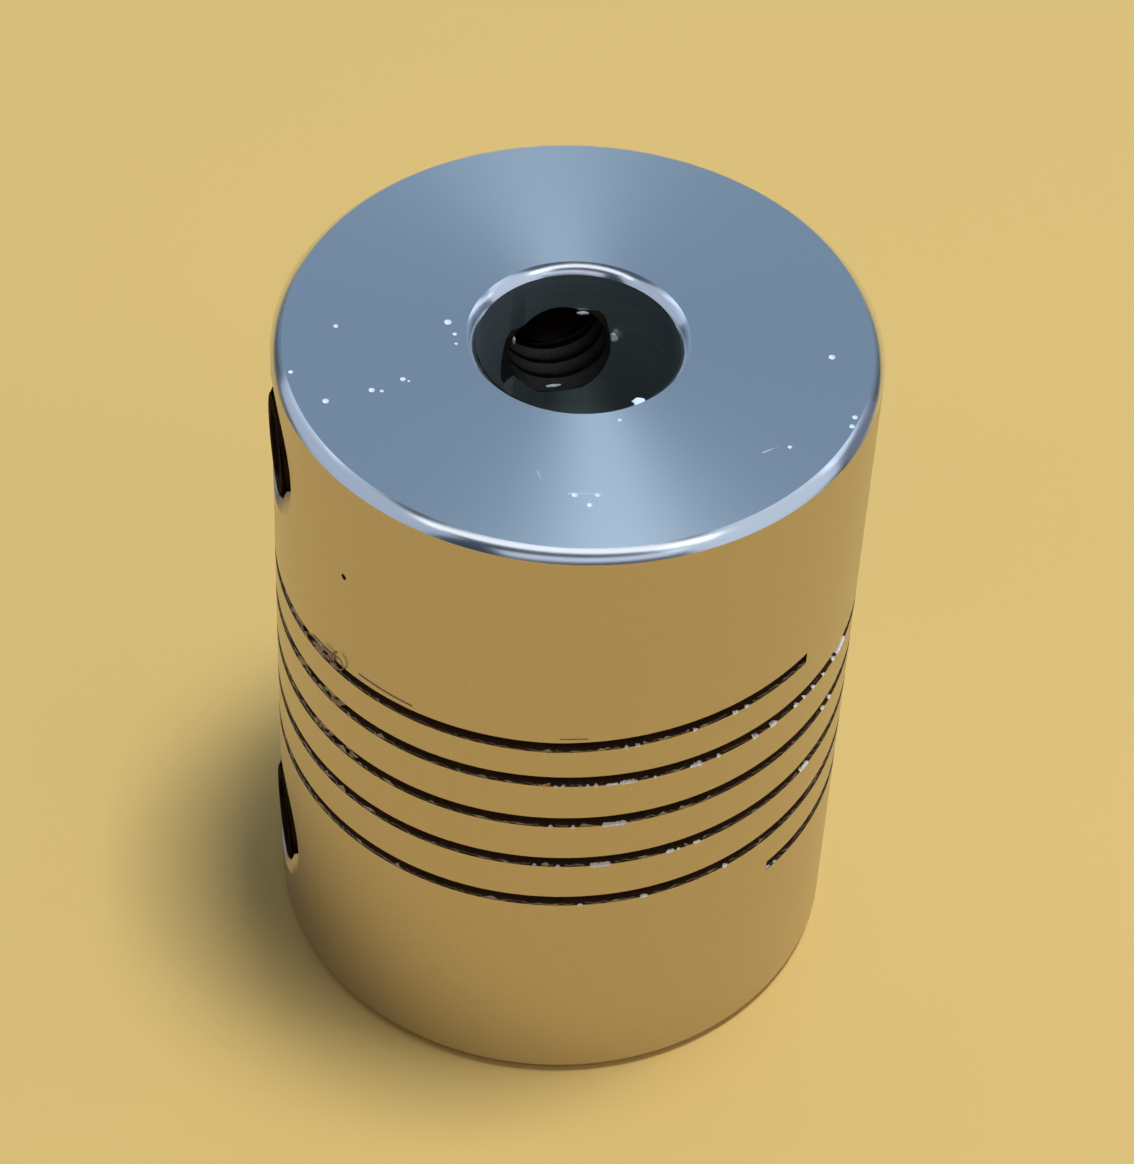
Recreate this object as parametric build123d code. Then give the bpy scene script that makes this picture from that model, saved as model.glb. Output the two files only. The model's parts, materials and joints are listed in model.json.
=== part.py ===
from build123d import *
import os
from math import acos, ceil, cos, degrees, radians, sin, tan

# Helical beam coupling: one turned and slit aluminium body with four set screws.
# The origin is the centre of the lower end face and +Z runs up the shaft axis.
# One row of set screws points along -X, the other along +Y.

# Driving dimensions in millimetres and degrees

# Turned blank
body_d = 19.0
body_length = 25.0
rim_chamfer = 0.38

# Bores, which meet inside at the cone left by the drill
upper_bore_d = 6.35
lower_bore_d = 5.0
upper_bore_depth = 12.5
bore_chamfer = 0.3
drill_point_angle = 118

# Helical slot, right-handed, with its heights taken at the middle of its width
slot_width = 0.45
slot_turns = 5
slot_start_angle = -53.8
slot_extra_angle = 5.4
upper_hub = 7.97
lower_hub = 7.58
close_turns = 0.85
close_pitch_ratio = 0.785

# Slitting saw, whose arc shapes both ends of the slot
saw_d = 20.0
saw_overreach = 0.8
upper_saw_tilt = 3.6
lower_saw_tilt = 1.0

# Set screws with an M4 thread, cup point and hexagon socket
screw_major_d = 3.95
screw_length = 5.0
screw_head_chamfer = 0.3
cup_d = 2.0
cup_angle = 120
socket_width = 2.0
socket_depth = 2.5
screw_recess = 0.02

# Tapped holes for them, in two rows a quarter turn apart
upper_hole_drop = 3.3
lower_hole_rise = 4.1
hole_rows = {"left": 180, "rear": 90}
thread_clearance = 0.05
countersink_d = 4.8
countersink_angle = 90

# Allowance by which cutting tools stand out of the metal
tool_margin = 0.5

# Sizes that follow from them
body_r = body_d / 2
upper_bore_r = upper_bore_d / 2
lower_bore_r = lower_bore_d / 2
hole_r = screw_major_d / 2 + thread_clearance
saw_r = saw_d / 2
saw_edge_r = min(upper_bore_r, lower_bore_r) - saw_overreach
saw_centre_r = saw_edge_r + saw_r
hole_heights = {"upper": body_length - upper_hole_drop, "lower": lower_hole_rise}


def turned_blank():
    """Half section of the bored blank, revolved about Z."""
    top = body_length
    step_z = top - upper_bore_depth
    cone_drop = (upper_bore_r - lower_bore_r) / tan(radians(drill_point_angle / 2))
    section = [
        (lower_bore_r + bore_chamfer, 0),
        (body_r - rim_chamfer, 0),
        (body_r, rim_chamfer),
        (body_r, top - rim_chamfer),
        (body_r - rim_chamfer, top),
        (upper_bore_r + bore_chamfer, top),
        (upper_bore_r, top - bore_chamfer),
        (upper_bore_r, step_z),
        (lower_bore_r, step_z - cone_drop),
        (lower_bore_r, bore_chamfer),
    ]
    return revolve(Plane.XZ * make_face(Polyline(*section, close=True)), Axis.Z)


def helical_run(start_angle, start_z, turns, pitch):
    """The part of the slot that is cut right through, along a helix of one pitch."""
    depth = body_r + tool_margin - saw_edge_r
    middle_r = saw_edge_r + depth / 2
    path = Helix(pitch=pitch, height=pitch * turns, radius=middle_r)
    section = Plane.XZ * Pos(middle_r, 0) * Rectangle(depth, slot_width)
    return Pos(0, 0, start_z) * Rot(0, 0, start_angle) * sweep(section, path=path, is_frenet=True)


def saw_run_out(angle, z, tilt, side):
    """Half of the saw's disc, where it stops: side 1 is beyond the angle, -1 short of it."""
    flat = Plane(
        origin=(saw_centre_r, 0, -slot_width / 2),
        x_dir=(1, 0, 0),
        z_dir=(0, -sin(radians(tilt)), cos(radians(tilt))),
    )
    half = Circle(saw_r) & Pos(0, side * saw_r) * Rectangle(saw_d, saw_d)
    return Pos(0, 0, z) * Rot(0, 0, angle) * extrude(flat * half, amount=slot_width, dir=(0, 0, 1))


def slot_tools():
    """The saw's run-outs and the helical runs between them, from the lower end to the upper."""
    # Angle by which the saw's disc cuts the outside beyond its own centre line
    reach_cosine = (saw_centre_r**2 + body_r**2 - saw_r**2) / (2 * saw_centre_r * body_r)
    reach = acos(reach_cosine)
    lower_rise = body_r * sin(reach) * tan(radians(lower_saw_tilt))
    upper_rise = body_r * sin(reach) * tan(radians(upper_saw_tilt))

    # The last turn below the upper hub is closer than the others
    open_turns = slot_turns + (slot_extra_angle - 2 * degrees(reach)) / 360 - close_turns
    rise = body_length - upper_hub - lower_hub - lower_rise - upper_rise
    open_pitch = rise / (open_turns + close_turns * close_pitch_ratio)
    close_pitch = open_pitch * close_pitch_ratio

    angle = slot_start_angle + degrees(reach)
    z = lower_hub + lower_rise
    tools = [saw_run_out(angle, z, lower_saw_tilt, -1)]
    for turns, pitch in [(open_turns, open_pitch), (close_turns, close_pitch)]:
        # A run of under one turn keeps each cut simple
        run_turns = turns / ceil(turns)
        for _ in range(ceil(turns)):
            tools.append(helical_run(angle, z, run_turns, pitch))
            angle += 360 * run_turns
            z += pitch * run_turns
    tools.append(saw_run_out(angle, z, upper_saw_tilt, 1))
    return tools


def radial_place(angle, z, radius=0):
    """Location on the shaft axis side of a hole, with its own Z pointing radially out."""
    out = (cos(radians(angle)), sin(radians(angle)), 0)
    origin = (radius * out[0], radius * out[1], z)
    return Plane(origin=origin, x_dir=(0, 0, 1), z_dir=out).location


def screw_hole(angle, z):
    """Tapped hole at its major diameter, from the bore to a countersunk mouth."""
    shank = Cylinder(hole_r, body_r + tool_margin, align=(Align.CENTER, Align.CENTER, Align.MIN))
    slope = tan(radians(countersink_angle / 2))
    depth = (countersink_d / 2 - hole_r) / slope
    mouth = Pos(0, 0, body_r - depth) * Cone(
        hole_r,
        countersink_d / 2 + tool_margin * slope,
        depth + tool_margin,
        align=(Align.CENTER, Align.CENTER, Align.MIN),
    )
    return radial_place(angle, z) * (shank + mouth)


def coupling_body():
    body = turned_blank()
    for tool in slot_tools():
        body -= tool
    for z in hole_heights.values():
        for angle in hole_rows.values():
            body -= screw_hole(angle, z)
    return body


def set_screw():
    """Set screw along Z, with its cup at z = 0 and its socket at the other end."""
    major_r = screw_major_d / 2
    cup_r = cup_d / 2
    cup_depth = cup_r / tan(radians(cup_angle / 2))
    section = [
        (0, cup_depth),
        (cup_r, 0),
        (major_r, major_r - cup_r),
        (major_r, screw_length - screw_head_chamfer),
        (major_r - screw_head_chamfer, screw_length),
        (0, screw_length),
    ]
    blank = revolve(Plane.XZ * make_face(Polyline(*section, close=True)), Axis.Z)
    floor = screw_length - socket_depth
    hexagon = RegularPolygon(socket_width / 2, 6, major_radius=False)
    socket = Pos(0, 0, floor) * extrude(hexagon, amount=socket_depth + tool_margin)
    return blank - socket


os.makedirs("parts", exist_ok=True)
pieces = {"coupling_body": coupling_body()}
screw = set_screw()
tip_r = body_r - screw_recess - screw_length
for hub, z in hole_heights.items():
    for row, angle in hole_rows.items():
        pieces[f"{hub}_set_screw_{row}"] = radial_place(angle, z, tip_r) * screw
for name, piece in pieces.items():
    export_step(piece, f"parts/{name}.step")
    print(name, round(piece.volume, 2), "mm3", "valid" if piece.is_valid else "not valid")
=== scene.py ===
import json
import random
from math import acos, atan2, ceil, cos, degrees, pi, radians, sin, sqrt, tan

import bmesh
import bpy
from mathutils import Matrix, Vector, noise


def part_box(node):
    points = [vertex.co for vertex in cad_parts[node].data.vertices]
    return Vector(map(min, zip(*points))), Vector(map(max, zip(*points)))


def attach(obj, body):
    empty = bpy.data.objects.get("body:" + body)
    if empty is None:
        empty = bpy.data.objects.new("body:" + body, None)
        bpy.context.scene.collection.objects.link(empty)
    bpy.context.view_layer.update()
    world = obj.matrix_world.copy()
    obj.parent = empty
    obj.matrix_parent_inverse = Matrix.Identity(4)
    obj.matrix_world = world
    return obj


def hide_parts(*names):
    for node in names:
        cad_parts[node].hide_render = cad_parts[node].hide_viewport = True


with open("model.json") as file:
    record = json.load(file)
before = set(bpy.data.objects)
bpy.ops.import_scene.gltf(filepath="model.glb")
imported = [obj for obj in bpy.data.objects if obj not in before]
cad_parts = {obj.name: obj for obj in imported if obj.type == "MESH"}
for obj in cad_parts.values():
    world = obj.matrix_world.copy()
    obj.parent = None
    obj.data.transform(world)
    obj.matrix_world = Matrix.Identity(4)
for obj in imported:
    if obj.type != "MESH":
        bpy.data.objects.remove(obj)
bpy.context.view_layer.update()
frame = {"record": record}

# Shapes are modelled in millimetres and scaled to metres once, when a piece is finished.
mm = 0.001
mergeDistance = 1e-4
spinSteps = 90  # the most that are spun at once, because a long spin is slow
toolMargin = 1  # how far a cutting tool stands out of the metal


def cornersOf(node):
    return [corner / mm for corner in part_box(node)]


bodyBox = cornersOf("coupling_body")
bodyRadius = bodyBox[1].x
bodyLength = bodyBox[1].z
mounts = {mount["name"]: mount for mount in frame["record"]["mounts"]}
boreRadius = {name: mounts[name]["dims"]["r_mm"] for name in ("upper_bore", "lower_bore")}
boreMouth = bodyLength - mounts["upper_bore"]["pos_m"][2] / mm
boreStep = bodyLength - boreMouth - mounts["upper_bore"]["dims"]["length_mm"]
lowerStep = boreMouth + mounts["lower_bore"]["dims"]["length_mm"]


# Mesh helpers

def polar(radius, angle, height):
    # A point at an angle in degrees round the shaft
    return Vector((radius * cos(radians(angle)), radius * sin(radians(angle)), height))


def radialMatrix(angle, height, distance=0):
    # Turns Z outwards from the shaft and X upwards
    out = polar(1, angle, 0)
    up = Vector((0, 0, 1))
    matrix = Matrix((up, out.cross(up), out)).transposed().to_4x4()
    matrix.translation = out * distance + up * height
    return matrix


def addOutline(bm, outline, closed):
    # Draws an outline of radii and heights, and returns its vertices and edges
    verts = [bm.verts.new((radius, 0, height)) for radius, height in outline]
    following = verts[1:] + verts[:1] if closed else verts[1:]
    return verts + [bm.edges.new(pair) for pair in zip(verts, following)]


def spin(bm, geom, angle, steps, climb=0, fullTurn=False):
    bmesh.ops.spin(
        bm, geom=geom, cent=(0, 0, 0), axis=(0, 0, 1), angle=angle, dvec=(0, 0, climb),
        steps=steps, use_merge=fullTurn,
    )


def turnAndLift(bm, verts, angle, height):
    bmesh.ops.rotate(bm, verts=verts, cent=(0, 0, 0), matrix=Matrix.Rotation(angle, 3, "Z"))
    bmesh.ops.translate(bm, verts=verts, vec=(0, 0, height))


def closeEnds(bm):
    bmesh.ops.holes_fill(bm, edges=[edge for edge in bm.edges if edge.is_boundary], sides=0)
    bmesh.ops.recalc_face_normals(bm, faces=bm.faces[:])


def lathe(outline, segments, closed=True):
    bm = bmesh.new()
    spin(bm, addOutline(bm, outline, closed), 2 * pi, segments, fullTurn=True)
    bmesh.ops.remove_doubles(bm, verts=bm.verts[:], dist=mergeDistance)
    bmesh.ops.recalc_face_normals(bm, faces=bm.faces[:])
    return bm


def helixSweep(profile, runs, closed):
    # Spins a section about the shaft through runs of turns, rise and steps
    whole = bmesh.new()
    angle = height = 0
    for turns, rise, steps in runs:
        for first in range(0, steps, spinSteps):
            count = min(spinSteps, steps - first)
            sweep = 2 * pi * turns * count / steps
            part = bmesh.new()
            spin(part, addOutline(part, profile, closed), sweep, count, rise / steps)
            turnAndLift(part, part.verts[:], angle, height)
            mesh = bpy.data.meshes.new("length")
            part.to_mesh(mesh)
            part.free()
            whole.from_mesh(mesh)
            bpy.data.meshes.remove(mesh)
            angle += sweep
            height += rise * count / steps
    bmesh.ops.remove_doubles(whole, verts=whole.verts[:], dist=mergeDistance)
    return whole


def jaggedBall(bm, jitter, chance):
    # Pulls the vertices of a ball in at random
    verts = bmesh.ops.create_icosphere(bm, subdivisions=2, radius=1)["verts"]
    for vert in verts:
        vert.co *= 1 - jitter * chance.random()
    return verts


def addObject(name, data):
    item = bpy.data.objects.new(name, data)
    bpy.context.scene.collection.objects.link(item)
    return item


def looseObject(name, bm, material=None):
    mesh = bpy.data.meshes.new(name)
    bm.to_mesh(mesh)
    bm.free()
    if material:
        mesh.materials.append(material)
    return addObject(name, mesh)


def combine(target, tool, operation="DIFFERENCE"):
    # Each cut face takes the finish of the tool that made it
    boolean = target.modifiers.new("boolean", "BOOLEAN")
    boolean.operation = operation
    boolean.solver = "EXACT"
    boolean.material_mode = "TRANSFER"
    boolean.object = tool
    bpy.context.view_layer.update()
    evaluated = target.evaluated_get(bpy.context.evaluated_depsgraph_get())
    result = bpy.data.meshes.new_from_object(evaluated)
    target.modifiers.clear()
    target.data = result
    bpy.data.objects.remove(tool)


def finishPiece(item, bodyName, sharpAngle=20):
    item.data.transform(Matrix.Scale(mm, 4))
    for face in item.data.polygons:
        face.use_smooth = True
    item.data.set_sharp_from_angle(angle=radians(sharpAngle))
    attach(item, bodyName)


# Material helpers

def linear(hexColour):
    channels = [int(hexColour[i:i + 2], 16) / 255 for i in (1, 3, 5)]
    values = [c / 12.92 if c <= 0.04045 else ((c + 0.055) / 1.055) ** 2.4 for c in channels]
    return (*values, 1)


def newMaterial(name):
    material = bpy.data.materials.new(name)
    material.use_nodes = True
    material.node_tree.nodes.clear()
    return material, material.node_tree


def addNode(tree, kind, inputs=None, **settings):
    node = tree.nodes.new(kind)
    for name, value in settings.items():
        setattr(node, name, value)
    for name, value in (inputs or {}).items():
        if isinstance(value, bpy.types.NodeSocket):
            tree.links.new(value, node.inputs[name])
        else:
            node.inputs[name].default_value = value
    return node


# Faced aluminium: the end faces, turned with a fine feed, so the sheen gathers into two wedges.
# The real feed marks are finer; these are as wide as it takes for them to show.
faced = {
    "colour": "#C9CDD2", "roughness": 0.28, "anisotropy": 0.68, "ringSpacing": 0.22,
    "ringDepth": 0.0005,
}


def facedAluminium():
    material, tree = newMaterial("facedAluminium")
    place = addNode(tree, "ShaderNodeTexCoord")
    flat = addNode(
        tree, "ShaderNodeVectorMath", {0: place.outputs["Object"], 1: (1, 1, 0)},
        operation="MULTIPLY",
    )
    radius = addNode(tree, "ShaderNodeVectorMath", {0: flat.outputs[0]}, operation="LENGTH")
    rings = addNode(
        tree, "ShaderNodeTexNoise",
        {"W": radius.outputs["Value"], "Scale": 1 / (faced["ringSpacing"] * mm), "Detail": 2.0},
        noise_dimensions="1D",
    )
    bump = addNode(tree, "ShaderNodeBump", {
        "Height": rings.outputs["Fac"], "Distance": faced["ringDepth"] * mm, "Strength": 1.0,
    })
    grooves = addNode(tree, "ShaderNodeTangent", direction_type="RADIAL", axis="Z")
    shader = addNode(tree, "ShaderNodeBsdfPrincipled", {
        "Base Color": linear(faced["colour"]), "Metallic": 1.0,
        "Roughness": faced["roughness"], "Anisotropic": faced["anisotropy"],
        "Anisotropic Rotation": 0.25, "Tangent": grooves.outputs["Tangent"],
        "Normal": bump.outputs["Normal"],
    })
    addNode(tree, "ShaderNodeOutputMaterial", {"Surface": shader.outputs["BSDF"]})
    return material


# The other metals are mottled between two colours and two roughnesses. The grain and its depth
# are in mm, and a stretch below 1 draws the grain out round the shaft, as a turning tool does.
# A real grain is finer; these are as coarse as it takes for them to show.
metals = {
    # The turned outside, clear anodised, with a soft even reflection
    "satinAluminium": {
        # The warm tint of both colours is a painted reflection of the warm floor
        "colours": ("#BFB4A6", "#CBC0B2"), "roughness": (0.27, 0.33),
        "grain": 0.12, "depth": 0.0008,
    },
    # The small turned chamfers, smooth enough to show the lamps as crisp lines
    "rimAluminium": {
        "colours": ("#E9EAEC", "#F5F6F8"), "roughness": (0.15, 0.19),
        "grain": 0.12, "depth": 0.0001, "stretch": 0.05,
    },
    # The drilled and reamed bores, ringed by the reamer under a thin oily film
    "boredAluminium": {
        "colours": ("#A9B1AF", "#C1C9C7"), "roughness": (0.31, 0.41),
        "grain": 0.2, "depth": 0.0008, "stretch": 0.05, "metallic": 0.8,
    },
    # The threads, painted dark grey-brown as the shade inside the tapped holes
    "threadPaintedShade": {
        "colours": ("#60584E", "#80786E"), "roughness": (0.38, 0.52),
        "grain": 0.15, "depth": 0.002,
    },
    # The walls of the slot and of the pit: rough, and painted dark brown as the shade inside
    # these recesses
    "recessPaintedShade": {
        "colours": ("#7D5A3D", "#9F7A5B"), "roughness": (0.48, 0.62),
        "grain": 0.2, "depth": 0.004,
    },
    # Flakes, dents and scratches of torn metal, near-white and matt: a painted glint that stays
    # bright from every side
    "tornMetalAndPaintedGlint": {
        "colours": ("#D8DBDE", "#F4F7FA"), "roughness": (0.38, 0.52),
        "grain": 0.05, "depth": 0.002, "metallic": 0.15,
    },
    # The ragged lips of the slot, smeared by the saw, a little brighter than its walls
    "burredAluminium": {
        "colours": ("#A88C66", "#D0B28A"), "roughness": (0.43, 0.57),
        "grain": 0.1, "depth": 0.003,
    },
    # Where the saw broke the slot's lip, a fresh rough face, painted almost white as the glint it
    # throws
    "chippedFaceAndPaintedGlint": {
        "colours": ("#F4E1D1", "#FFF7E7"), "roughness": (0.33, 0.47),
        "grain": 0.06, "depth": 0.002, "metallic": 0.2,
    },
    # Curls, hairs and crumbs of cut metal, dulled by oil
    "oilySwarf": {
        "colours": ("#8A7866", "#B6A492"), "roughness": (0.48, 0.62),
        "grain": 0.08, "depth": 0.002,
    },
    # Black oxide on the set screws, dark even where the light grazes them
    "blackSteel": {
        "colours": ("#291C14", "#3B2A20"), "roughness": (0.42, 0.58),
        "grain": 0.15, "depth": 0.002, "tint": "#6E5E50",
    },
}


def mottledMetal(name, metal):
    material, tree = newMaterial(name)
    place = addNode(tree, "ShaderNodeTexCoord")
    stretch = metal.get("stretch", 1)
    drawn = addNode(
        tree, "ShaderNodeMapping",
        {"Vector": place.outputs["Object"], "Scale": (stretch, stretch, 1)},
    )
    grain = addNode(
        tree, "ShaderNodeTexNoise",
        {"Vector": drawn.outputs["Vector"], "Scale": 1 / (metal["grain"] * mm), "Detail": 3.0},
    )
    dark, light = metal["colours"]
    colour = addNode(
        tree, "ShaderNodeMix", {0: grain.outputs["Fac"], 6: linear(dark), 7: linear(light)},
        data_type="RGBA",
    )
    smooth, rough = metal["roughness"]
    roughness = addNode(
        tree, "ShaderNodeMapRange",
        {"Value": grain.outputs["Fac"], "To Min": smooth, "To Max": rough},
    )
    bump = addNode(tree, "ShaderNodeBump", {
        "Height": grain.outputs["Fac"], "Distance": metal["depth"] * mm, "Strength": 1.0,
    })
    shader = addNode(tree, "ShaderNodeBsdfPrincipled", {
        "Base Color": colour.outputs[2], "Metallic": metal.get("metallic", 1.0),
        "Roughness": roughness.outputs["Result"], "Normal": bump.outputs["Normal"],
        "Specular Tint": linear(metal.get("tint", "#FFFFFF")),
    })
    addNode(tree, "ShaderNodeOutputMaterial", {"Surface": shader.outputs["BSDF"]})
    return material


finishes = {name: mottledMetal(name, metal) for name, metal in metals.items()}
finishes["facedAluminium"] = facedAluminium()


# Turned blank, with slightly rounded chamfers

blank = {"segments": 360, "rimChamfer": 0.35, "bow": 0.025, "bowSteps": 6}


def bowedChamfer(start, end):
    # The bow is to the right of the direction from start to end
    first, last = Vector(start), Vector(end)
    side = Vector(((last - first).y, -(last - first).x)).normalized()
    shares = [step / blank["bowSteps"] for step in range(blank["bowSteps"] + 1)]
    return [tuple(first.lerp(last, s) + side * blank["bow"] * 4 * s * (1 - s)) for s in shares]


def makeBlank():
    outer, top, rim = bodyRadius, bodyLength, blank["rimChamfer"]
    upper, lower = boreRadius["upper_bore"], boreRadius["lower_bore"]
    outline = [
        (lower + boreMouth, 0),
        *bowedChamfer((outer - rim, 0), (outer, rim)),
        *bowedChamfer((outer, top - rim), (outer - rim, top)),
        *bowedChamfer((upper + boreMouth, top), (upper, top - boreMouth)),
        (upper, boreStep),
        (lower, lowerStep),
        (lower, boreMouth),
    ]
    bm = lathe(outline, blank["segments"])
    order = ["satinAluminium", "facedAluminium", "boredAluminium", "rimAluminium"]
    for face in bm.faces:
        middle = face.calc_center_median()
        finish = "satinAluminium"
        if abs(face.normal.z) > 0.99:  # the flat end faces
            finish = "facedAluminium"
        elif min(middle.z, top - middle.z) < rim:
            finish = "rimAluminium"
        elif middle.xy.length < upper + 0.01:  # both bores and the step between them
            finish = "boredAluminium"
        face.material_index = order.index(finish)
    item = looseObject("turned_body", bm)
    for finish in order:
        item.data.materials.append(finishes[finish])
    return item


# Helical slot, cut by a slitting saw

slot = {
    "width": 0.45, "turns": 5, "startAngle": -53.8, "extraAngle": 5.4,
    "upperHub": 7.97, "lowerHub": 7.58, "closeTurns": 0.85, "closeRatio": 0.785,
    "sawDiameter": 20.0, "sawOverreach": 0.8, "sawSegments": 180,
    "upperTilt": 3.6, "lowerTilt": 1.0, "stepsPerTurn": 360, "overlap": 0.05,
}
sawRadius = slot["sawDiameter"] / 2
sawEdge = min(boreRadius.values()) - slot["sawOverreach"]
sawCentre = sawEdge + sawRadius
sawReach = acos((sawCentre**2 + bodyRadius**2 - sawRadius**2) / (2 * sawCentre * bodyRadius))


def slotPlan():
    # Start angle, start height and the turns and pitch of the two helical runs
    rise = {
        end: bodyRadius * sin(sawReach) * tan(radians(slot[end + "Tilt"]))
        for end in ("lower", "upper")
    }
    spare = (slot["extraAngle"] - 2 * degrees(sawReach)) / 360
    openTurns = slot["turns"] + spare - slot["closeTurns"]
    height = bodyLength - slot["upperHub"] - slot["lowerHub"] - rise["lower"] - rise["upper"]
    pitch = height / (openTurns + slot["closeTurns"] * slot["closeRatio"])
    start = slot["startAngle"] + degrees(sawReach)
    runs = [(openTurns, pitch), (slot["closeTurns"], pitch * slot["closeRatio"])]
    return start, slot["lowerHub"] + rise["lower"], runs


def slotHeight(angle):
    # Height of the slot's middle on the outside, with the angle counted on from its lower end
    start, height, runs = slotPlan()
    if angle < start:
        tilt = slot["lowerTilt"]
        return height + bodyRadius * sin(radians(angle - start)) * tan(radians(tilt))
    for turns, pitch in runs:
        if angle < start + 360 * turns:
            return height + pitch * (angle - start) / 360
        start += 360 * turns
        height += pitch * turns
    tilt = slot["upperTilt"]
    return height + bodyRadius * sin(radians(angle - start)) * tan(radians(tilt))


def turnStart(turn):
    # The angle that the slot has gone through, for a turn counted from the top
    return 360 * (slot["turns"] + 1 - turn)


def helicalCutter(start, height, runs):
    half = slot["width"] / 2
    outer = bodyRadius + toolMargin
    corners = [(sawEdge, -half), (outer, -half), (outer, half), (sawEdge, half)]
    lengths = [
        (turns, pitch * turns, round(turns * slot["stepsPerTurn"])) for turns, pitch in runs
    ]
    bm = helixSweep(corners, lengths, closed=True)
    closeEnds(bm)
    turnAndLift(bm, bm.verts[:], radians(start), height)
    return bm


def sawDisc(angle, height, tilt, side):
    # Half of the saw, where it stops: side 1 is beyond the angle, -1 short of it
    bm = bmesh.new()
    bmesh.ops.create_circle(
        bm, cap_ends=True, radius=sawRadius, segments=slot["sawSegments"],
    )
    bmesh.ops.bisect_plane(
        bm, geom=bm.verts[:] + bm.edges[:] + bm.faces[:],
        plane_co=(0, -side * slot["overlap"], 0), plane_no=(0, side, 0), clear_inner=True,
    )
    up = bmesh.ops.extrude_face_region(bm, geom=bm.faces[:])
    top = [part for part in up["geom"] if isinstance(part, bmesh.types.BMVert)]
    bmesh.ops.translate(bm, verts=top, vec=(0, 0, slot["width"]))
    for vert in bm.verts:
        vert.co.z += vert.co.y * tan(radians(tilt)) - slot["width"] / 2
    bmesh.ops.translate(bm, verts=bm.verts[:], vec=(sawCentre, 0, 0))
    turnAndLift(bm, bm.verts[:], radians(angle), height)
    bmesh.ops.recalc_face_normals(bm, faces=bm.faces[:])
    return bm


def cutSlot(item):
    start, height, runs = slotPlan()
    end = start + 360 * sum(turns for turns, _ in runs)
    endHeight = height + sum(turns * pitch for turns, pitch in runs)
    tools = [
        helicalCutter(start, height, runs),
        sawDisc(start, height, slot["lowerTilt"], -1),
        sawDisc(end, endHeight, slot["upperTilt"], 1),
    ]
    for bm in tools:
        # The cut walls take the dark finish that paints the shade inside the slot
        combine(item, looseObject("saw", bm, finishes["recessPaintedShade"]))


# Tapped holes and set screws, with M4 threads that start on the shaft axis

thread = {"pitch": 0.7, "flankAngle": 30, "segments": 64, "spareTurns": 3}
tap = {
    "rootRadius": 1.65, "crestRadius": 2.02, "crestWidth": 0.09,
    # The countersink is a right-angled cone
    "mouthDiameter": 4.8, "mouthSegments": 96,
}
screw = {
    "rootRadius": 1.57, "crestRadius": 1.97, "crestWidth": 0.06,
    "headChamfer": 0.3, "cupDiameter": 2.0, "cupAngle": 120, "socketWidth": 2.0,
    "socketDepth": 2.5, "envelopeGap": 0.05, "envelopeSegments": 96,
}
screwNodes = {
    f"{hub}_set_screw_{row}": {"body": f"{hub}_{row}_screw", "angle": angle}
    for hub in ("upper", "lower") for row, angle in (("left", 180), ("rear", 90))
}


def threadedRod(form, length):
    pitch = thread["pitch"]
    flank = (form["crestRadius"] - form["rootRadius"]) * tan(radians(thread["flankAngle"]))
    crest = form["crestWidth"] / 2
    profile = [
        (form["rootRadius"], -pitch / 2),
        (form["rootRadius"], -crest - flank),
        (form["crestRadius"], -crest),
        (form["crestRadius"], crest),
        (form["rootRadius"], crest + flank),
        (form["rootRadius"], pitch / 2),
    ]
    turns = ceil(length / pitch) + thread["spareTurns"]
    lowered = [(radius, height - 2 * pitch) for radius, height in profile]
    bm = helixSweep(lowered, [(turns, turns * pitch, thread["segments"] * turns)], closed=False)
    for height, outward in ((0, -1), (length, 1)):
        cut = bmesh.ops.bisect_plane(
            bm, geom=bm.verts[:] + bm.edges[:] + bm.faces[:], plane_co=(0, 0, height),
            plane_no=(0, 0, outward), clear_outer=True,
        )
        rim = [part for part in cut["geom_cut"] if isinstance(part, bmesh.types.BMEdge)]
        bmesh.ops.holes_fill(bm, edges=rim, sides=0)
    bmesh.ops.recalc_face_normals(bm, faces=bm.faces[:])
    return bm


def tapHoles(item):
    # The threads take the dark finish that paints the shade inside the holes
    rod = looseObject(
        "tap", threadedRod(tap, bodyRadius + toolMargin), finishes["threadPaintedShade"],
    )
    depth = tap["mouthDiameter"] / 2 - tap["rootRadius"]
    cone = bmesh.new()
    bmesh.ops.create_cone(
        cone, cap_ends=True, segments=tap["mouthSegments"], radius1=tap["rootRadius"],
        radius2=tap["mouthDiameter"] / 2 + toolMargin, depth=depth + toolMargin,
    )
    middle = bodyRadius + (toolMargin - depth) / 2
    bmesh.ops.translate(cone, verts=cone.verts[:], vec=(0, 0, middle))
    countersink = looseObject("countersink", cone, finishes["satinAluminium"])
    for node, place in screwNodes.items():
        low, high = cornersOf(node)
        for tool in (rod, countersink):
            copy = addObject(tool.name, tool.data.copy())
            copy.data.transform(radialMatrix(place["angle"], (low.z + high.z) / 2))
            combine(item, copy)
    for tool in (rod, countersink):
        bpy.data.objects.remove(tool)


def screwMesh(length):
    # One set screw along Z, from its cup point to its socket
    steel = finishes["blackSteel"]
    item = looseObject("threaded", threadedRod(screw, length), steel)
    outer = screw["crestRadius"] + screw["envelopeGap"]
    cup = screw["cupDiameter"] / 2
    outline = [
        (0, cup / tan(radians(screw["cupAngle"] / 2))),
        (cup, 0),
        (outer, outer - cup),
        (outer, length - screw["headChamfer"]),
        (screw["crestRadius"] - screw["headChamfer"], length),
        (0, length),
    ]
    envelope = lathe(outline, screw["envelopeSegments"], closed=False)
    combine(item, looseObject("envelope", envelope, steel), "INTERSECT")
    key = bmesh.new()
    keyRadius = screw["socketWidth"] / sqrt(3)
    bmesh.ops.create_cone(
        key, cap_ends=True, segments=6, radius1=keyRadius, radius2=keyRadius,
        depth=screw["socketDepth"] + toolMargin,
    )
    middle = length + (toolMargin - screw["socketDepth"]) / 2
    bmesh.ops.translate(key, verts=key.verts[:], vec=(0, 0, middle))
    combine(item, looseObject("key", key, steel))
    mesh = item.data
    bpy.data.objects.remove(item)
    return mesh


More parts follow.
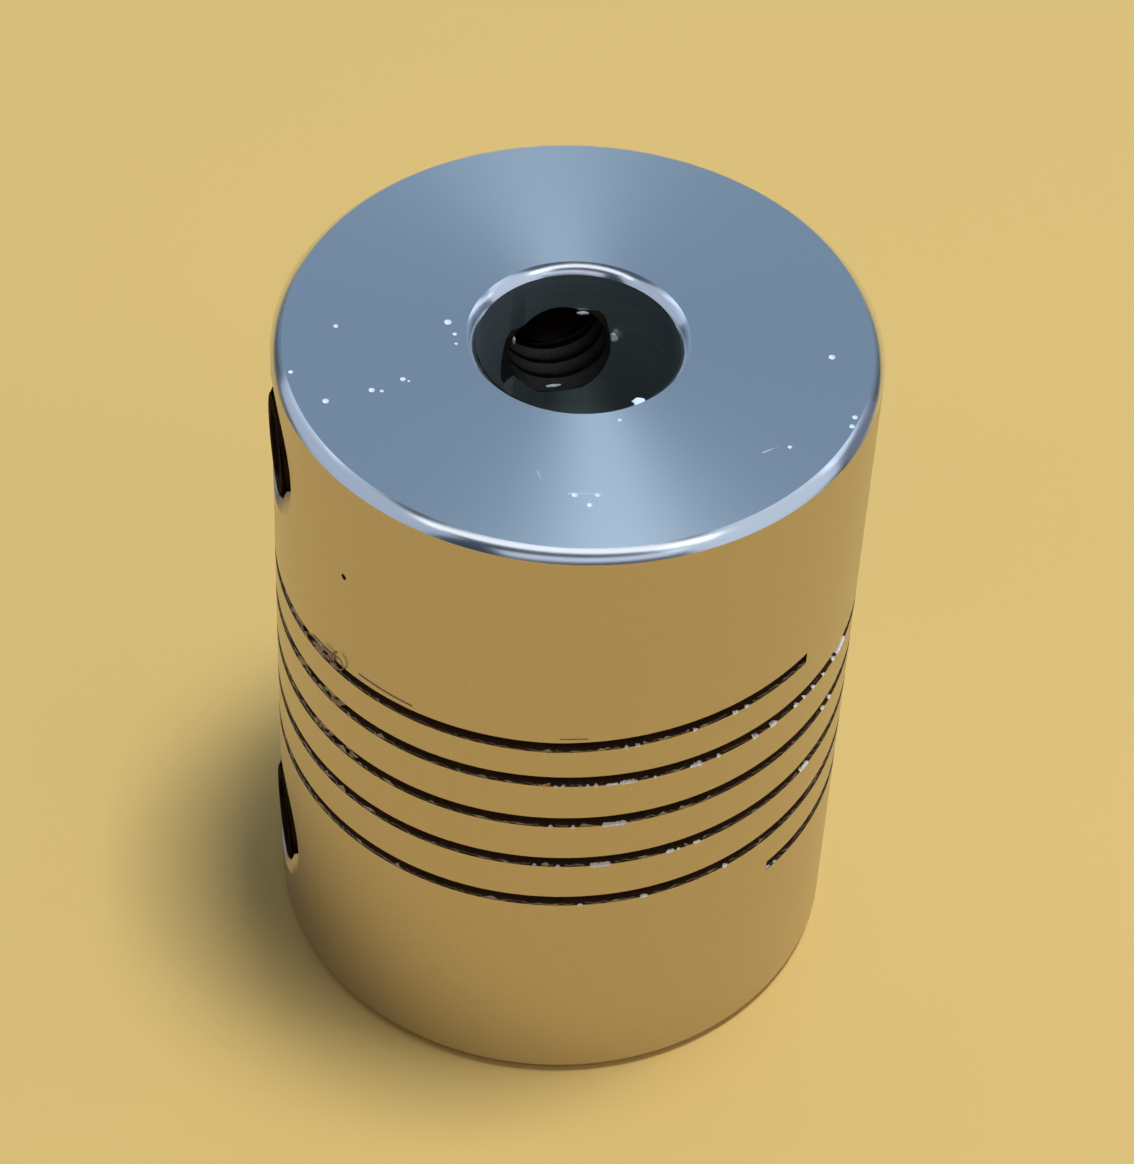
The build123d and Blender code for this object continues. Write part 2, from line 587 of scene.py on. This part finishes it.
def makeScrews():
    mesh = None
    for node, place in screwNodes.items():
        low, high = cornersOf(node)
        out = polar(1, place["angle"], 0)
        near, far = sorted((abs(low.dot(out)), abs(high.dot(out))))
        mesh = mesh or screwMesh(far - near)
        item = addObject(node + "_threaded", mesh.copy())
        # The thread's phase follows that of the tapped hole
        phase = Matrix.Rotation(2 * pi * near / thread["pitch"], 4, "Z")
        seat = radialMatrix(place["angle"], (low.z + high.z) / 2, near)
        item.data.transform(seat @ phase)
        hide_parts(node)
        finishPiece(item, place["body"])


# Chips broken out of the slot's lower lip: turn counted from the top, first and last angle
# in degrees, and size

lipChips = {
    "seed": 5, "step": 0.3, "drop": 0.08, "depth": 0.125, "jitter": 0.55, "endShare": 0.4,
    "overcut": 0.4,
    "rows": [
        (1, -89.6, -88.8, 1.0), (1, -87.5, -86.6, 1.1), (1, -76.1, -75.2, 1.1),
        (1, -67.6, -66.3, 1.2), (1, -64.8, -63.8, 1.0), (2, -102.5, -101.8, 0.9),
        (2, -101.1, -100.3, 1.0), (2, -96.4, -95.7, 0.9), (2, -94.9, -94.1, 1.0),
        (2, -92.6, -90.3, 0.7), (2, -90, -86.7, 1.1), (2, -83.4, -82.8, 0.8),
        (2, -76, -73.4, 1.2), (2, -70.3, -69.4, 1.1), (2, -61.9, -60.5, 1.3),
        (2, -57.4, -55.5, 1.3), (2, -50.7, -49.3, 1.0), (2, -47.7, -46.9, 1.0),
        (2, -44.6, -43.6, 1.0), (2, -40.6, -39.8, 1.0), (2, -36.2, -35, 1.2),
        (2, -34.2, -29.2, 2.0), (3, -103.1, -102.2, 1.0), (3, -98.8, -98, 1.0),
        (3, -92.8, -88, 1.1), (3, -38.9, -37.6, 1.0), (3, -35.6, -34.4, 1.0),
        (4, -105.8, -105, 1.0), (4, -101.3, -100.4, 1.1), (4, -94.7, -90.6, 1.2),
        (4, -79.6, -77.8, 1.0), (4, -77.3, -76.6, 0.8), (4, -73.8, -72.2, 1.0),
        (4, -45.4, -42.2, 1.2), (5, -96.6, -95.6, 0.8), (5, -84.2, -82.6, 0.9),
        (5, -66.2, -65, 0.9),
    ],
}


def cutLipChips(item):
    # Each chip is a leaning face, ragged and shallower at its ends, cut by a three-sided sliver
    bm = bmesh.new()
    chance = random.Random(lipChips["seed"])
    over = lipChips["overcut"]
    for turn, start, end, size in lipChips["rows"]:
        sweep = end - start
        first = start + turnStart(turn)
        steps = max(2, ceil(sweep / lipChips["step"]))
        edge = slotHeight(first) - slot["width"] / 2
        before = set(bm.verts)
        # A vertex's corner is kept in its height until it is placed
        ring = addOutline(bm, [(bodyRadius, corner) for corner in range(3)], closed=True)
        spin(bm, ring, radians(sweep), steps)
        made = [vert for vert in bm.verts if vert not in before]
        shares = [size * chance.uniform(1 - lipChips["jitter"], 1) for _ in range(steps + 1)]
        shares[0] *= lipChips["endShare"]
        shares[-1] *= lipChips["endShare"]
        for vert in made:
            step = round(degrees(atan2(vert.co.y, vert.co.x)) / sweep * steps)
            along = sweep * step / steps
            drop, depth = lipChips["drop"] * shares[step], lipChips["depth"] * shares[step]
            radius, z = [
                (bodyRadius + over * depth, -(1 + over) * drop),
                (bodyRadius + over * depth, over * drop),
                (bodyRadius - (1 + over) * depth, over * drop),
            ][round(vert.co.z)]
            rise = slotHeight(first + along) - slotHeight(first)
            vert.co = polar(radius, start + along, edge + rise + z)
    closeEnds(bm)
    # The chip faces take the near-white finish that paints their glint
    combine(item, looseObject("lip_chips", bm, finishes["chippedFaceAndPaintedGlint"]))


# Torn edges that the saw left along both lips of the slot, thickest in two places

burr = {
    "seed": 11, "stepsPerTurn": 480, "foot": 0.02, "quiet": 0.15, "uneven": (0.3, 1.6),
    "clumpAngle": 2.5, "clumpRow": 7, "clumpGain": 1.6, "clumpLeast": 0.05,
    "inset": 0.002, "tipInset": 0.01, "tipRise": 0.005, "lean": 0.7,
    "sink": 0.3, "sinkMargin": 0.4,
    "lips": {-1: {"height": 0.12, "reach": 0.16}, 1: {"height": 0.04, "reach": 0.05}},
    "thick": [{"angle": -96, "spread": 26}, {"angle": -154, "spread": 24}],
}


def burrStrength(angle):
    gaps = [
        abs((angle - place["angle"] + 180) % 360 - 180) / place["spread"]
        for place in burr["thick"]
    ]
    return burr["quiet"] + (1 - burr["quiet"]) * max(0, 1 - min(gaps)) ** 0.5


def isChipped(angle):
    margin = burr["sinkMargin"]
    return any(
        start - margin < angle - turnStart(turn) < end + margin
        for turn, start, end, _ in lipChips["rows"]
    )


def burrLip(side, lip, chance):
    sweep = slot["turns"] * 360 + slot["extraAngle"]
    steps = round(sweep / 360 * burr["stepsPerTurn"])
    # A vertex's step and corner are kept in its height, in quarters, until it is placed
    corners = [(bodyRadius, corner / 4) for corner in range(3)]
    bm = helixSweep(corners, [(sweep / 360, steps, steps)], closed=True)
    tips = []
    for step in range(steps + 1):
        angle = slot["startAngle"] + sweep * step / steps
        place = Vector((angle / burr["clumpAngle"], burr["clumpRow"] * side, 0))
        clump = max(burr["clumpLeast"], noise.noise(place) * burr["clumpGain"])
        height = lip["height"] * burrStrength(angle) * clump * chance.uniform(*burr["uneven"])
        # Where a chip has broken out of the lip, the burr is gone: it sinks into the metal
        sink = burr["sink"] if side < 0 and isChipped(angle) else 0
        tips.append((angle, height, chance.random(), sink))
    for vert in bm.verts:
        step, corner = divmod(round(vert.co.z * 4), 4)
        angle, height, lean, sink = tips[step]
        edge = slotHeight(angle) + side * slot["width"] / 2 - sink
        foot = edge + side * burr["foot"]
        tip = bodyRadius - burr["tipInset"] - lean * lip["reach"] * burr["lean"]
        radius, z = [
            (bodyRadius - lip["reach"], foot),
            (bodyRadius - burr["inset"], foot),
            (tip, edge - side * (height + burr["tipRise"])),
        ][corner]
        vert.co = polar(radius, angle, z)
    closeEnds(bm)
    return bm


def makeBurrs():
    chance = random.Random(burr["seed"])
    for side, name in ((-1, "lower_lip_burr"), (1, "upper_lip_burr")):
        bm = burrLip(side, burr["lips"][side], chance)
        item = looseObject(name, bm, finishes["burredAluminium"])
        finishPiece(item, "body", 5)


# Dull crumbs of metal caught in the slot: turn counted from the top, first and last angle

crumbs = {
    "seed": 8, "spacing": 0.6, "wander": 0.15, "offCentre": 0.35, "jitter": 0.4,
    "size": (0.16, 0.09, 0.06), "scale": (0.7, 1.1), "depth": 0.07,
    "rows": [
        (1, -169, -163), (1, -160, -150), (2, -164, -160), (2, -154, -148), (3, -158, -152),
        (3, -147, -145),
    ],
}


def makeCrumbs():
    bm = bmesh.new()
    chance = random.Random(crumbs["seed"])
    around, up, out = crumbs["size"]
    wander, offCentre = crumbs["wander"], crumbs["offCentre"] * slot["width"]
    for turn, start, end in crumbs["rows"]:
        for place in range(ceil((end - start) / crumbs["spacing"])):
            angle = start + place * crumbs["spacing"] + chance.uniform(-wander, wander)
            height = slotHeight(angle + turnStart(turn)) + chance.uniform(-offCentre, offCentre)
            made = jaggedBall(bm, crumbs["jitter"], chance)
            scale = chance.uniform(*crumbs["scale"])
            seat = radialMatrix(angle, height, bodyRadius - crumbs["depth"])
            bmesh.ops.scale(bm, verts=made, vec=(up * scale, around * scale, out))
            bmesh.ops.transform(bm, verts=made, matrix=seat)
    finishPiece(looseObject("crumbs", bm, finishes["oilySwarf"]), "body", 5)


# Loose swarf: a curled chip on the top lip and hairs of metal beside it

swarf = {
    "sides": 6, "stand": 0.01, "curlWire": 0.022, "curlSteps": 32, "curlClimb": 0.003,
    "curls": [
        {"angle": -149.2, "height": 16.72, "radius": 0.3, "squash": 1.0, "from": 20, "to": 350},
        {"angle": -152.6, "height": 16.62, "radius": 0.36, "squash": 0.5, "from": -170, "to": 40},
    ],
    "hairSteps": 24,
    "hairs": [
        {"from": -143.6, "to": -130.8, "wire": 0.018, "heights": (16.86, 16.84)},
        {"from": -158, "to": -151, "wire": 0.018, "heights": (16.62, 16.74)},
        {"from": -101.8, "to": -96.6, "wire": 0.01, "heights": (16.96, 16.99)},
    ],
}


def spinWire(bm, wire, radius, height, bend, steps, climb):
    # Spins a round wire from one angle of a curl or hair to the other
    before = set(bm.verts)
    verts = bmesh.ops.create_circle(
        bm, radius=wire, segments=swarf["sides"], matrix=Matrix.Rotation(pi / 2, 4, "X"),
    )["verts"]
    edges = list({edge for vert in verts for edge in vert.link_edges})
    bmesh.ops.translate(bm, verts=verts, vec=(radius, 0, 0))
    turnAndLift(bm, verts, radians(bend["from"]), height)
    spin(bm, verts + edges, radians(bend["to"] - bend["from"]), steps, climb)
    return [vert for vert in bm.verts if vert not in before]


def makeSwarf():
    bm = bmesh.new()
    stand = bodyRadius + swarf["stand"]
    for curl in swarf["curls"]:
        made = spinWire(
            bm, swarf["curlWire"], curl["radius"], 0, curl, swarf["curlSteps"],
            swarf["curlClimb"],
        )
        seat = radialMatrix(curl["angle"], curl["height"], stand)
        bmesh.ops.scale(bm, verts=made, vec=(curl["squash"], 1, 1))
        bmesh.ops.transform(bm, verts=made, matrix=seat)
    for hair in swarf["hairs"]:
        low, high = hair["heights"]
        climb = (high - low) / swarf["hairSteps"]
        spinWire(bm, hair["wire"], stand, low, hair, swarf["hairSteps"], climb)
    closeEnds(bm)
    finishPiece(looseObject("swarf", bm, finishes["oilySwarf"]), "body", 50)


# Small flakes of torn metal: radius, angle and height, then half sizes outwards, round and up

flakes = {
    "seed": 3, "jitter": 0.35,
    "places": [
        (3.31, -67, 24.91, 0.2, 0.24, 0.085), (3.48, -44.7, 24.94, 0.08, 0.1, 0.05),
        (3.45, -110, 24.93, 0.05, 0.09, 0.05), (3.1, 56.5, 22.35, 0.12, 0.16, 0.24),
        (3.12, 118.6, 22.49, 0.06, 0.06, 0.2), (3.12, 76, 23.14, 0.05, 0.24, 0.08),
        (3.12, 91, 20.0, 0.06, 0.3, 0.07), (9.46, -29.7, 14.59, 0.04, 0.12, 0.05),
        (9.46, -33.2, 14.84, 0.04, 0.1, 0.05), (9.46, -53.1, 7.4, 0.04, 0.14, 0.06),
        (9.46, -50.9, 7.36, 0.04, 0.08, 0.05),
    ],
}


def makeFlakes():
    bm = bmesh.new()
    chance = random.Random(flakes["seed"])
    for radius, angle, height, out, around, up in flakes["places"]:
        made = jaggedBall(bm, flakes["jitter"], chance)
        bmesh.ops.scale(bm, verts=made, vec=(up, around, out))
        bmesh.ops.transform(bm, verts=made, matrix=radialMatrix(angle, height, radius))
    # The flakes take the near-white finish, a painted glint
    finishPiece(looseObject("flakes", bm, finishes["tornMetalAndPaintedGlint"]), "body", 5)


# Small dents, cut by balls that stand out of the metal by a share of their radius

dents = {
    # Angle, height and radius in the side
    "pits": [(-147.6, 20.69, 0.13)], "pitLift": -0.5,
    "sides": [(-44, 19.6, 0.05), (-97, 21.6, 0.04), (-120, 18.7, 0.045)], "sideLift": 0.3,
    # Distance from the shaft axis, angle and radius in the upper end face
    "specks": [
        (4.07, 163.1, 0.14), (3.82, 170.8, 0.08), (7.49, 168.7, 0.09), (8.3, -167.4, 0.12),
        (6.83, -167.1, 0.11), (5.77, -168.3, 0.1), (8.99, -177.5, 0.09), (6.56, -165.8, 0.07),
        (5.63, -166.8, 0.05), (7.83, -14.8, 0.12), (6.95, -101.2, 0.11), (6.95, -95.6, 0.09),
        (7.36, -97.7, 0.1), (7.87, -46.5, 0.08), (3.8, 177.4, 0.06), (3.89, -81.6, 0.07),
        (9.0, -31.6, 0.1), (9.05, -34.2, 0.1),
    ],
    "speckLift": 0.45,
    # Distance and angle of both ends, and width there
    "scratches": [
        (6.9, -103, 6.95, -90, 0.035), (7.4, -52, 7.7, -46, 0.03), (6.1, -112, 6.9, -108, 0.02),
    ],
    "scratchTaper": 3, "scratchSides": 4,
}


def ballCutter(bm, radius, matrix):
    made = bmesh.ops.create_icosphere(bm, subdivisions=2, radius=radius)["verts"]
    bmesh.ops.transform(bm, verts=made, matrix=matrix)


def cutDents(item):
    bm = bmesh.new()
    for angle, height, radius in dents["pits"]:
        reach = bodyRadius + radius * dents["pitLift"]
        ballCutter(bm, radius, radialMatrix(angle, height, reach))
    # The pit takes the dark finish that paints the shade inside it
    combine(item, looseObject("pits", bm, finishes["recessPaintedShade"]))
    bm = bmesh.new()
    for angle, height, radius in dents["sides"]:
        reach = bodyRadius + radius * dents["sideLift"]
        ballCutter(bm, radius, radialMatrix(angle, height, reach))
    for reach, angle, radius in dents["specks"]:
        centre = polar(reach, angle, bodyLength + radius * dents["speckLift"])
        ballCutter(bm, radius, Matrix.Translation(centre))
    # The side dents and the specks take the near-white finish, a painted glint
    combine(item, looseObject("dents", bm, finishes["tornMetalAndPaintedGlint"]))
    bm = bmesh.new()
    for reach, angle, endReach, endAngle, width in dents["scratches"]:
        start, end = polar(reach, angle, bodyLength), polar(endReach, endAngle, bodyLength)
        made = bmesh.ops.create_cone(
            bm, cap_ends=True, segments=dents["scratchSides"], radius1=width,
            radius2=width / dents["scratchTaper"], depth=(end - start).length,
        )["verts"]
        along = (end - start).to_track_quat("Z", "Y").to_matrix().to_4x4()
        middle = (start + end) / 2 + Vector((0, 0, width / 2))
        bmesh.ops.transform(bm, verts=made, matrix=Matrix.Translation(middle) @ along)
    # The scratches take the same near-white finish, a painted glint
    combine(item, looseObject("scratches", bm, finishes["tornMetalAndPaintedGlint"]))


turnedBody = makeBlank()
cutDents(turnedBody)
print("blank turned")
cutSlot(turnedBody)
cutLipChips(turnedBody)
print("slot cut")
tapHoles(turnedBody)
print("holes tapped")
finishPiece(turnedBody, "body")
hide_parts("coupling_body")
makeScrews()
print("screws made")
makeBurrs()
makeCrumbs()
makeSwarf()
makeFlakes()
print("burrs and swarf made")


# Floor, light and camera

studio = {"floor": "#E1B76A", "floorSize": 3000, "lampDistance": 600}


def makeFloor():
    bm = bmesh.new()
    bmesh.ops.create_grid(bm, x_segments=1, y_segments=1, size=studio["floorSize"] / 2)
    floor = looseObject("floor", bm)
    floor.data.transform(Matrix.Scale(mm, 4))
    # Matt emulsion paint, plain and pale, with hardly any gloss
    material, tree = newMaterial("floorPaint")
    shader = addNode(
        tree, "ShaderNodeBsdfPrincipled",
        {"Base Color": linear(studio["floor"]), "Roughness": 0.6, "Specular IOR Level": 0.3},
    )
    addNode(tree, "ShaderNodeOutputMaterial", {"Surface": shader.outputs["BSDF"]})
    floor.data.materials.append(material)


view = {
    "azimuth": -102.4, "elevation": 46.16, "roll": 3.12, "distance": 125.7,
    "aimRight": 0.11, "aimUp": 1.06, "lens": 117.0,
}
# Directions are given from the camera's side: 0 is towards the camera and 90 to its right.
# The key only lights. The sheen and the panels at the front and left only show in the metal,
# so that nothing burns out.
lamps = {
    "key": {
        "turn": 97, "rise": 82, "size": (130, 130), "power": 3.25, "colour": "#E6F2FF",
        "inMetal": False,
    },
    "sheen": {
        "turn": 168, "rise": 70, "size": (60, 60), "power": 0.465, "colour": "#E0F2FF",
        "onFloor": False,
    },
    "overhead": {
        "turn": 0, "rise": 59, "size": (950, 135), "power": 0.48, "colour": "#F0F6FF",
    },
    "frontPanel": {
        "turn": 8, "rise": 36, "size": (585, 130), "power": 0.183, "colour": "#DCE8FA",
        "onFloor": False,
    },
    "leftPanel": {
        "turn": -84, "rise": 27, "size": (860, 470), "power": 0.74, "colour": "#D0DFF6",
        "onFloor": False,
    },
    "leftEdge": {
        "turn": -113, "rise": 39, "size": (330, 70), "power": 0.03, "colour": "#E0F0FF",
        "onFloor": False,
    },
    "rightPanel": {
        "turn": 72, "rise": 31.5, "size": (640, 500), "power": 0.72, "colour": "#DAE8FB",
    },
    "rightWall": {
        "turn": 113, "rise": 11, "size": (230, 260), "power": 0.04, "colour": "#C4CDF0",
    },
    "rightEdge": {
        "turn": 118, "rise": 29, "size": (330, 110), "power": 0.09, "colour": "#DAE8FB",
    },
}
# The sky pales towards the patch that the upper end face mirrors to the camera
room = {"front": "#2E3A48", "back": "#8FA8C1", "turn": 180, "rise": 46, "edge": (0.4, 0.8)}


def direction(turn, rise):
    return polar(cos(radians(rise)), view["azimuth"] + turn, sin(radians(rise)))


def makeLamps():
    for name, lamp in lamps.items():
        data = bpy.data.lights.new(name, "AREA")
        data.shape = "RECTANGLE"
        data.size, data.size_y = (side * mm for side in lamp["size"])
        data.energy = lamp["power"]
        data.color = linear(lamp["colour"])[:3]
        item = addObject(name, data)
        item.visible_glossy = lamp.get("inMetal", True)
        item.visible_diffuse = lamp.get("onFloor", True)
        out = direction(lamp["turn"], lamp["rise"])
        item.location = (out * studio["lampDistance"] + Vector((0, 0, bodyLength / 2))) * mm
        item.rotation_euler = out.to_track_quat("Z", "Y").to_euler()


def makeWorld():
    world = bpy.data.worlds.new("room")
    bpy.context.scene.world = world
    world.use_nodes = True
    tree = world.node_tree
    tree.nodes.clear()
    look = addNode(tree, "ShaderNodeTexCoord")
    backness = addNode(
        tree, "ShaderNodeVectorMath",
        {0: look.outputs["Generated"], 1: direction(room["turn"], room["rise"])},
        operation="DOT_PRODUCT",
    )
    near, far = room["edge"]
    share = addNode(
        tree, "ShaderNodeMapRange",
        {"Value": backness.outputs["Value"], "From Min": near, "From Max": far},
        interpolation_type="SMOOTHSTEP",
    )
    colour = addNode(
        tree, "ShaderNodeMix",
        {0: share.outputs["Result"], 6: linear(room["front"]), 7: linear(room["back"])},
        data_type="RGBA",
    )
    sky = addNode(tree, "ShaderNodeBackground", {"Color": colour.outputs[2], "Strength": 1.0})
    addNode(tree, "ShaderNodeOutputWorld", {"Surface": sky.outputs["Background"]})


def makeCamera():
    tilt, roll = radians(view["elevation"]), radians(view["roll"])
    forward = Vector((0, cos(tilt), -sin(tilt)))
    level = Vector((1, 0, 0))
    upright = level.cross(forward)
    right = cos(roll) * level + sin(roll) * upright
    up = cos(roll) * upright - sin(roll) * level
    matrix = Matrix((right, up, -forward)).transposed().to_4x4()
    place = Vector((0, 0, bodyLength / 2)) - forward * view["distance"]
    matrix.translation = (place + right * view["aimRight"] + up * view["aimUp"]) * mm
    data = bpy.data.cameras.new("camera")
    data.lens = view["lens"]
    data.sensor_width = 36
    data.clip_start = 0.005
    camera = addObject("camera", data)
    camera.matrix_world = Matrix.Rotation(radians(view["azimuth"] + 90), 4, "Z") @ matrix
    bpy.context.scene.camera = camera


makeFloor()
makeLamps()
makeWorld()
makeCamera()
bpy.context.scene.view_settings.view_transform = "Standard"
print("studio ready")
